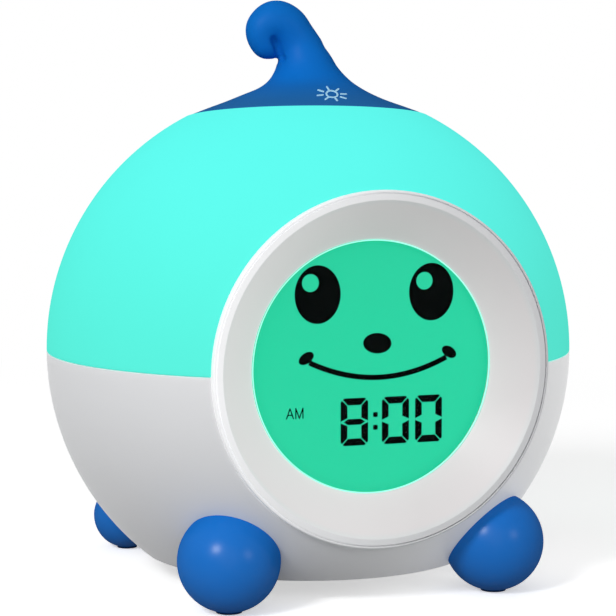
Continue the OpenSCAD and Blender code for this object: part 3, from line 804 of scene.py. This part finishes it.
# the fold between the curl's tip and the neck: reach to each side, depth, and the
# sideways places and heights along it
FOLD_REACH, FOLD_DEPTH = 1.15, 1.6
FOLD = [(-8.9, 70.4), (-8.3, 69.7), (-7.8, 69.0), (-7.5, 68.2), (-7.2, 67.3), (-6.9, 66.4)]


def press_fold(shape):
    """Presses the fold in from the front and from behind, deeper towards its end."""
    run = [Vector(point) for point in smooth_line(FOLD, 6)]
    shape.normal_update()
    moves = []
    for vert in shape.verts:
        far, k = min(((vert.co.xz - point).length, k) for k, point in enumerate(run))
        if far < FOLD_REACH:
            deep = min(FOLD_DEPTH, 0.6 * abs(vert.co.y)) * min(1, 0.4 + k / len(run))
            moves.append((vert, vert.normal * deep * (1 - (far / FOLD_REACH) ** 2) ** 2))
    for vert, move in moves:
        vert.co -= move
    smooth(shape, [vert for vert, _ in moves])


def make_stem():
    """Flared foot and a run of balls along the curl, made one smooth skin."""
    shape = bmesh.new()
    rings = [SKIRT[0]] + [tuple(q) for q in smooth_line(SKIRT[1:], 5)]
    ring = bmesh.ops.create_circle(shape, cap_ends=True, segments=128, radius=1)["verts"]
    edges = edges_among(ring)
    here = Matrix.Identity(4)
    for k, (height, shift, radius) in enumerate(rings):
        if k:
            grown = bmesh.ops.extrude_edge_only(shape, edges=edges)["geom"]
            ring = verts_in(grown)
            edges = edges_among(ring)
        there = Matrix.Translation((shift, 0, height)) @ Matrix.Diagonal(
            (radius, radius, 1, 1))
        bmesh.ops.transform(shape, matrix=there @ here.inverted(), verts=ring)
        here = there
    shape.faces.new(sorted(ring, key=lambda v: math.atan2(v.co.y, v.co.x - rings[-1][1])))
    bmesh.ops.recalc_face_normals(shape, faces=shape.faces)
    for side, height, radius in smooth_line(CURL, 7):
        bmesh.ops.create_icosphere(shape, subdivisions=4, radius=radius,
                                   matrix=Matrix.Translation((side, 0, height)))
    raw = bpy.data.meshes.new("raw_stem")
    shape.to_mesh(raw)
    shape.free()
    lump = new_object("raw_stem", raw)
    skin = lump.modifiers.new("one skin", "REMESH")
    skin.mode = "VOXEL"
    skin.voxel_size = STEM_VOXEL
    lump.update_tag()
    solid = bmesh.new()
    solid.from_object(lump, bpy.context.evaluated_depsgraph_get())
    bpy.data.objects.remove(lump)
    bpy.data.meshes.remove(raw)
    for _ in range(STEM_SMOOTHINGS):
        smooth(solid, solid.verts)
    press_fold(solid)
    solid.transform(LEAN)
    surface = BVHTree.FromBMesh(solid)
    finish_piece("curled_stem", solid, "toy_blue", "stem_cap", finish=STEM_BLUE, sharp=60)
    return surface


# the sun mark: place, turn in degrees, half sizes of the ring and the share of them
# that its hole takes, half sizes of the ovals on which the rays start and end
MARK_AIM = LEAN @ Vector((6.4, 0, 58.65))
MARK_TILT = -8
MARK_RING, MARK_HOLE = (1.45, 1.2), (0.72, 0.68)
RAY_START, RAY_END, RAY_W = (2.15, 1.3), (3.4, 2.0), 0.42
MARK_T, MARK_SUNK = 0.12, 0.05


def make_touch_mark(surface):
    """Small raised sun where the stem is touched, laid on its front slope. It is
    stretched down the slope, so that it looks even from the front left."""
    seat, out, _, _ = surface.ray_cast(CAMERA, (MARK_AIM - CAMERA).normalized())
    across, up = VIEW_UP.cross(out), out.cross(VIEW_RIGHT)
    across, up = across / across.dot(VIEW_RIGHT), up / up.dot(VIEW_UP)
    flat = Matrix((across, up, out)).transposed().to_4x4()
    flat.translation = seat
    flat = flat @ Matrix.Rotation(math.radians(MARK_TILT), 4, "Z")
    shape = bmesh.new()
    ring = loop_of(shape, 1, (0, 0, 0), 40, MARK_RING)
    bmesh.ops.extrude_edge_only(shape, edges=shape.edges[:])
    bmesh.ops.scale(shape, verts=shape.verts[len(ring):], vec=(*MARK_HOLE, 1))
    for k in range(8):
        a = math.radians(22.5 + 45 * k)
        start, end = ((x * math.cos(a), y * math.sin(a)) for x, y in (RAY_START, RAY_END))
        bar(shape, start, end, RAY_W, 12)
    raise_flat(shape, MARK_T)
    for vert in shape.verts:
        lift = vert.co.z - MARK_SUNK
        spot, normal, _, _ = surface.ray_cast(flat @ Vector((*vert.co.xy, 4)), -out)
        vert.co = spot + normal * lift
    bmesh.ops.recalc_face_normals(shape, faces=shape.faces)
    finish_piece("touch_mark", shape, "diffuser_white", finish=PALE_PRINT)


# --- feet ------------------------------------------------------------------------
# place on the floor, radius, radius of the pocket for the rubber pad
FEET = {
    "front_left_foot": ((-31.2, -36.95), 11, 2.85),
    "front_right_foot": ((30.3, -36.95), 11, 2.85),
    "rear_left_foot": ((-34.1, 35.3), 8, 2.45),
    "rear_right_foot": ((34.1, 35.3), 8, 2.45),
}
PAD_TOP = 1.2


def make_foot(node, at, radius, pocket_r):
    """Ball foot, hollowed where it hugs the shell, with a pocket for its rubber pad."""
    middle = Vector((*at, radius - MIDDLE.z))
    far = middle.length
    hug_r = BALL_R + 0.05
    spot = (far * far + hug_r * hug_r - radius * radius) / (2 * far)
    hug = math.degrees(math.acos(spot / hug_r))
    meet = math.degrees(math.asin(hug_r * math.sin(math.radians(hug)) / radius))
    start = meet if spot > far else 180 - meet
    profile = arc((0, 0), hug_r, 90, 90 - hug, 12)
    profile += [(r, far + h) for r, h in arc((0, 0), radius, 90 - start, 90, 64)[1:]]
    towards = middle.to_track_quat("Z", "Y").to_matrix().to_4x4()
    shape = turned(profile, 96, closed=False, placed=towards)
    chord = radius - math.sqrt(radius ** 2 - pocket_r ** 2)
    floor_z = chord - MIDDLE.z
    cut = cut_away(shape, (0, 0, floor_z), (0, 0, -1))
    base = bmesh.ops.contextual_create(shape, geom=edges_in(cut))["faces"]
    made = bmesh.ops.extrude_face_region(shape, geom=base)["geom"]
    bmesh.ops.translate(shape, verts=verts_in(made), vec=(0, 0, PAD_TOP + 0.02 - chord))
    bmesh.ops.delete(shape, geom=[f for f in base if f.is_valid], context="FACES")
    bmesh.ops.recalc_face_normals(shape, faces=shape.faces)
    finish_piece(node + "_ball", shape, "toy_blue", node, sharp=50)


# --- back ------------------------------------------------------------------------
PANEL_H, PANEL_BACK_H, PANEL_FLAT_R = 44.5, 42.3, 33.4
BUTTON_R, BUTTON_TOP_H, BUTTON_ARC_R = 3.9, 46.2, 24
BUTTONS = ["alarm_button", "set_button", "light_button", "up_button", "down_button"]
SPEAKER_Y, GRILLE_PITCH, GRILLE_HOLE_R = 14.5, 3.4, 0.9
USB_AT, SWITCH_AT = (-10, -7.5), (11, -7.5)
USB_W, USB_H = 8.9, 3.2
KNOB_W, KNOB_D, KNOB_TRAVEL = 3.4, 3.0, 2.6
SIGN_T, SIGN_SUNK = 0.3, 0.12


def button_at(k):
    a = math.radians(-160 + 35 * k)
    return (BUTTON_ARC_R * math.cos(a), BUTTON_ARC_R * math.sin(a))


def grille_places():
    """A hole in the middle and three rings of holes round it."""
    places = [(0, SPEAKER_Y)]
    for ring in (1, 2, 3):
        out = ring * GRILLE_PITCH
        for k in range(6 * ring):
            a = math.radians(k * 60 / ring)
            places.append((out * math.cos(a), SPEAKER_Y + out * math.sin(a)))
    return places


def slot_ring(shape, at, width, height, steps=32):
    """Ring of a slot with round ends, from a circle whose halves move apart."""
    ring = loop_of(shape, height / 2, (*at, 0), steps, turn=180 / steps)
    for vert in ring:
        vert.co.x += math.copysign((width - height) / 2, vert.co.x - at[0])
    return ring


def box_ring(shape, at, width, height):
    """Ring of a square-cornered slot."""
    corners = [(-1, -1), (1, -1), (1, 1), (-1, 1)]
    ring = [shape.verts.new((at[0] + a * width / 2, at[1] + b * height / 2, 0))
            for a, b in corners]
    for k in range(4):
        shape.edges.new((ring[k], ring[(k + 1) % 4]))
    return ring


def hole_rings(shape, wider):
    """Outlines of every hole in the back panel, a little wider where it is chamfered."""
    rings = [loop_of(shape, GRILLE_HOLE_R + wider, (*at, 0), 20) for at in grille_places()]
    rings += [loop_of(shape, BUTTON_R + 0.08 + wider, (*button_at(k), 0), 48)
              for k in range(len(BUTTONS))]
    rings.append(slot_ring(shape, USB_AT, USB_W + 0.8 + 2 * wider, USB_H + 0.8 + 2 * wider))
    rings.append(box_ring(shape, (SWITCH_AT[0] + KNOB_TRAVEL / 2, SWITCH_AT[1]),
                          KNOB_W + KNOB_TRAVEL + 0.2 + 2 * wider, KNOB_D + 0.2 + 2 * wider))
    return rings


def make_back_panel():
    """Back panel: the front frame's lip, a flat field and the holes in it."""
    chamfer = 0.25
    profile = [(PANEL_FLAT_R, PANEL_BACK_H), (RIM_R - 2, PANEL_BACK_H), (RIM_R - 2, 39.5),
               (40.4, 39.5), (40.4, 41.1)]
    profile += rounded(LIP + [(34, 44.9), (PANEL_FLAT_R, PANEL_H)])
    shape = turned(profile, closed=False, placed=Matrix.Identity(4))
    levels = []
    for height, wider in ((PANEL_H, chamfer), (PANEL_H - chamfer, 0), (PANEL_BACK_H, 0)):
        rings = hole_rings(shape, wider)
        for ring in rings:
            bmesh.ops.translate(shape, verts=ring, vec=(0, 0, height))
        levels.append(rings)
    for height, rings, up in ((PANEL_H, levels[0], 1), (PANEL_BACK_H, levels[2], -1)):
        rim = [v for v in shape.verts if abs(v.co.z - height) < 1e-4
               and abs(v.co.xy.length - PANEL_FLAT_R) < 1e-3]
        fill(shape, edges_among(rim) + [e for ring in rings for e in edges_among(ring)], up)
    for upper, lower in zip(levels, levels[1:]):
        for one, other in zip(upper, lower):
            bmesh.ops.bridge_loops(shape, edges=edges_among(one) + edges_among(other))
    bmesh.ops.recalc_face_normals(shape, faces=shape.faces)
    shape.transform(BACK)
    finish_piece("back_panel", shape, "shell_white", "rear_panel", sharp=30)


def icon_bell(shape):
    oval(shape, (0, 0.35), (0.95, 1.05))
    plate(shape, [(-1.5, -0.75), (1.5, -0.75), (0.93, 0.35), (-0.93, 0.35)])
    oval(shape, (0, -1.2), (0.36, 0.3), steps=20)
    bar(shape, (0, 1.2), (0, 1.75), 0.4, 12)


def icon_clock(shape):
    bar(shape, (0, 0), (0, 1.0), 0.36, 12)
    bar(shape, (0.05, 0), (0.72, 0), 0.36, 12)
    for k in range(24):
        a, b = (math.radians(15 * (k + d)) for d in (0, 1))
        bar(shape, (1.62 * math.cos(a), 1.62 * math.sin(a)),
            (1.62 * math.cos(b), 1.62 * math.sin(b)), 0.34, 8)


def icon_lamp(shape):
    oval(shape, (0, 0), (0.8, 0.8))
    for k in range(8):
        a = math.radians(45 * k)
        bar(shape, (1.3 * math.cos(a), 1.3 * math.sin(a)),
            (1.85 * math.cos(a), 1.85 * math.sin(a)), 0.36, 12)


def icon_plus(shape):
    bar(shape, (-1.5, 0), (1.5, 0), 0.5)
    bar(shape, (0, -1.5), (0, -0.25), 0.5)
    bar(shape, (0, 0.25), (0, 1.5), 0.5)


def icon_minus(shape):
    bar(shape, (-1.5, 0), (1.5, 0), 0.5)


ICONS = [icon_bell, icon_clock, icon_lamp, icon_plus, icon_minus]


def make_button(k):
    """Push button with a softly crowned top, its flange and the stub behind it."""
    node = BUTTONS[k]
    crown, edge_r = 0.35, 0.5
    bend_r = (BUTTON_R ** 2 + crown ** 2) / (2 * crown)
    flat_angle = math.degrees(math.asin((BUTTON_R - edge_r) / bend_r))
    top = [(r, BUTTON_TOP_H - bend_r + h)
           for r, h in arc((0, 0), bend_r, 90 - flat_angle, 90, 8)]
    shoulder = arc((BUTTON_R - edge_r, top[0][1] - edge_r), edge_r, 0, 80, 6)
    profile = [(0, 40.5), (1.6, 40.5), (1.6, 41.2), (BUTTON_R + 1.1, 41.2),
               (BUTTON_R + 1.1, 42.2), (BUTTON_R, 42.2)] + shoulder + top
    x, y = button_at(k)
    spot = BACK @ Matrix.Translation((x, y, 0))
    shape = turned(profile, 64, closed=False, placed=spot)
    finish_piece(node + "_cap", shape, "toy_blue", node, body=node)

    sign = bmesh.new()
    ICONS[k](sign)
    raise_flat(sign, SIGN_T)
    for vert in sign.verts:
        sink = bend_r - math.sqrt(bend_r ** 2 - vert.co.xy.length_squared)
        vert.co.z += BUTTON_TOP_H - sink - SIGN_SUNK
    sign.transform(spot)
    finish_piece(node + "_sign", sign, "diffuser_white", body=node, finish=ICON_PRINT)


def make_switch_knob():
    """Slider with finger ridges, its retaining plate and the pin that it drives."""
    shape = bmesh.new()
    low, high = PANEL_BACK_H - 0.6, 45.35
    x, y = SWITCH_AT
    box(shape, (x, y, 41.7), (KNOB_W + 2.4, KNOB_D + 1.6, 1.0))
    box(shape, (x, y, 40.5), (1.8, 1.8, 1.6))
    box(shape, (x, y, (low + high) / 2), (KNOB_W, KNOB_D, high - low))
    for k in (-1, 0, 1):
        box(shape, (x + k * 1.05, y, high), (0.5, KNOB_D, 0.6))
    bevel(shape, shape.edges[:], 0.14, 2)
    shape.transform(BACK)
    finish_piece("switch_slider", shape, "toy_blue", "switch_knob", body="switch_knob")


def make_charging_inlet():
    """Charging inlet: a drawn steel shell with its contact tongue."""
    shape = bmesh.new()
    mouth, root = PANEL_H - 0.6, 36.0
    levels = []
    for width, height, depth in ((USB_W, USB_H, root), (USB_W, USB_H, mouth - 0.12),
                                 (USB_W - 0.2, USB_H - 0.2, mouth),
                                 (USB_W - 0.5, USB_H - 0.5, mouth),
                                 (USB_W - 0.6, USB_H - 0.6, mouth - 0.1),
                                 (USB_W - 0.6, USB_H - 0.6, root + 1.2)):
        ring = slot_ring(shape, USB_AT, width, height, 40)
        bmesh.ops.translate(shape, verts=ring, vec=(0, 0, depth))
        levels.append(ring)
    for one, other in zip(levels, levels[1:]):
        bmesh.ops.bridge_loops(shape, edges=edges_among(one) + edges_among(other))
    for ring in (levels[0], levels[-1]):
        bmesh.ops.contextual_create(shape, geom=edges_among(ring))
    bmesh.ops.recalc_face_normals(shape, faces=shape.faces)
    shape.transform(BACK)
    finish_piece("charging_inlet", shape, "plated_steel", "usb_socket", sharp=30)

    tongue = bmesh.new()
    low, high = root + 1, mouth - 0.8
    box(tongue, (*USB_AT, (low + high) / 2), (6.6, 0.7, high - low))
    bevel(tongue, tongue.edges[:], 0.1, 2)
    tongue.transform(BACK)
    finish_piece("contact_tongue", tongue, "dark_plastic")


# --- stage -----------------------------------------------------------------------
# in metres: the floor's radius, and where it fades to white
FLOOR_R = 30
FLOOR_FADE = (0.16, 0.42)
FLOOR_GLOW = (0.50, 0.50, 0.50)
# the studio's even light on the clock
AMBIENT = 0.30


def make_floor():
    """Pale floor: it keeps the clock's shadow near it and fades to white further out."""
    shape = bmesh.new()
    bmesh.ops.create_circle(shape, cap_ends=True, segments=96, radius=FLOOR_R)
    mesh = bpy.data.meshes.new("floor")
    shape.to_mesh(mesh)
    shape.free()
    r = new_recipe("pale floor")
    far = r.node("VectorMath", {"operation": "LENGTH"}, {0: r.place()}, out=1)
    fade = r.smooth_step(far, *FLOOR_FADE)
    seen = r.seen()
    white = r.node("Emission", None, {"Color": (1, 1, 1), "Strength": 1.0})
    speck = r.noise(1.5, detail=2)
    pale = r.mix(speck, (0.93, 0.93, 0.93), (0.95, 0.95, 0.95))
    r.shader({
        "Base Color": r.mix(seen, (0.30, 0.30, 0.30), pale),
        "Roughness": 0.9,
        "Specular IOR Level": 0.0,
        "Emission Color": r.mix(seen, (0, 0, 0), FLOOR_GLOW),
        "Emission Strength": 1.0,
    })
    plain = Flow(r, r.nodes["Principled BSDF"].outputs[0])
    blend = r.node("MixShader", None, {0: fade * seen, 1: plain, 2: white})
    r.put(r.nodes["Material Output"].inputs["Surface"], blend)
    mesh.materials.append(r.owner)
    floor = new_object("floor", mesh)


def make_world():
    """White where it is seen, a soft even light everywhere else."""
    world = bpy.data.worlds.new("studio")
    bpy.context.scene.world = world
    r = Recipe(world)
    back = r.nodes["Background"].inputs
    r.put(back["Strength"], r.seen().above(0.5) * (1 - AMBIENT) + AMBIENT)
    r.put(back["Color"], (1.0, 1.0, 1.0))


LAMPS_AIM = Vector((0, 0, 0.055))


def lamp(name, at, power, size, mirrored=True):
    """Disc lamp. A broad one isn't mirrored, so that gloss stays clear."""
    light = bpy.data.lights.new(name, "AREA")
    light.energy = power
    light.shape = "DISK"
    light.size = size
    made = new_object(name, light)
    made.visible_glossy = mirrored
    made.location = at
    towards = LAMPS_AIM - at
    made.rotation_euler = towards.to_track_quat("-Z", "Y").to_euler()


def from_camera(turn, rise, distance):
    """A place seen from the clock, turned right and raised from the camera's side."""
    side, up = math.radians(CAMERA_TURN + turn), math.radians(CAMERA_RISE + rise)
    return LAMPS_AIM + distance * Vector((math.sin(side) * math.cos(up),
                                          -math.cos(side) * math.cos(up), math.sin(up)))


def make_lamps():
    """Key and fill, and two broad soft ones from the front and the left."""
    lamp("key", from_camera(-31, 26, 1.1), 5.4, 0.26)
    lamp("fill", from_camera(46, 12, 1.2), 1.1, 0.30)
    lamp("front", from_camera(0, 12, 1.2), 3.5, 1.00, False)
    lamp("left side", from_camera(-90, 20, 1.2), 1.7, 0.90, False)


def make_camera():
    """Camera at the front left. It aims a little above the middle of the ball."""
    lens = bpy.data.cameras.new("camera")
    lens.sensor_width = 36
    lens.lens = 121.23
    camera = new_object("camera", lens)
    camera.location = (MIDDLE + CAMERA) * MM
    towards = Vector((0, 0, 9.05)) - CAMERA
    camera.rotation_euler = towards.to_track_quat("-Z", "Y").to_euler()
    bpy.context.scene.camera = camera


# --- assembly ----------------------------------------------------------------------
make_camera()
make_world()
make_lamps()
make_floor()

slots = {part["node"]: part["material_slot"] for part in frame["record"]["subparts"]}
for node, thing in frame["nodes"].items():
    thing.data.materials.clear()
    thing.data.materials.append(FINISHES[slots[node]])

make_dome()
make_lower_shell()
make_front_frame()
make_window()
make_display()
make_touch_mark(make_stem())
for node, (at, radius, pocket_r) in FEET.items():
    make_foot(node, at, radius, pocket_r)
make_back_panel()
for k in range(len(BUTTONS)):
    make_button(k)
make_switch_knob()
make_charging_inlet()

bpy.context.scene.view_settings.view_transform = "Standard"
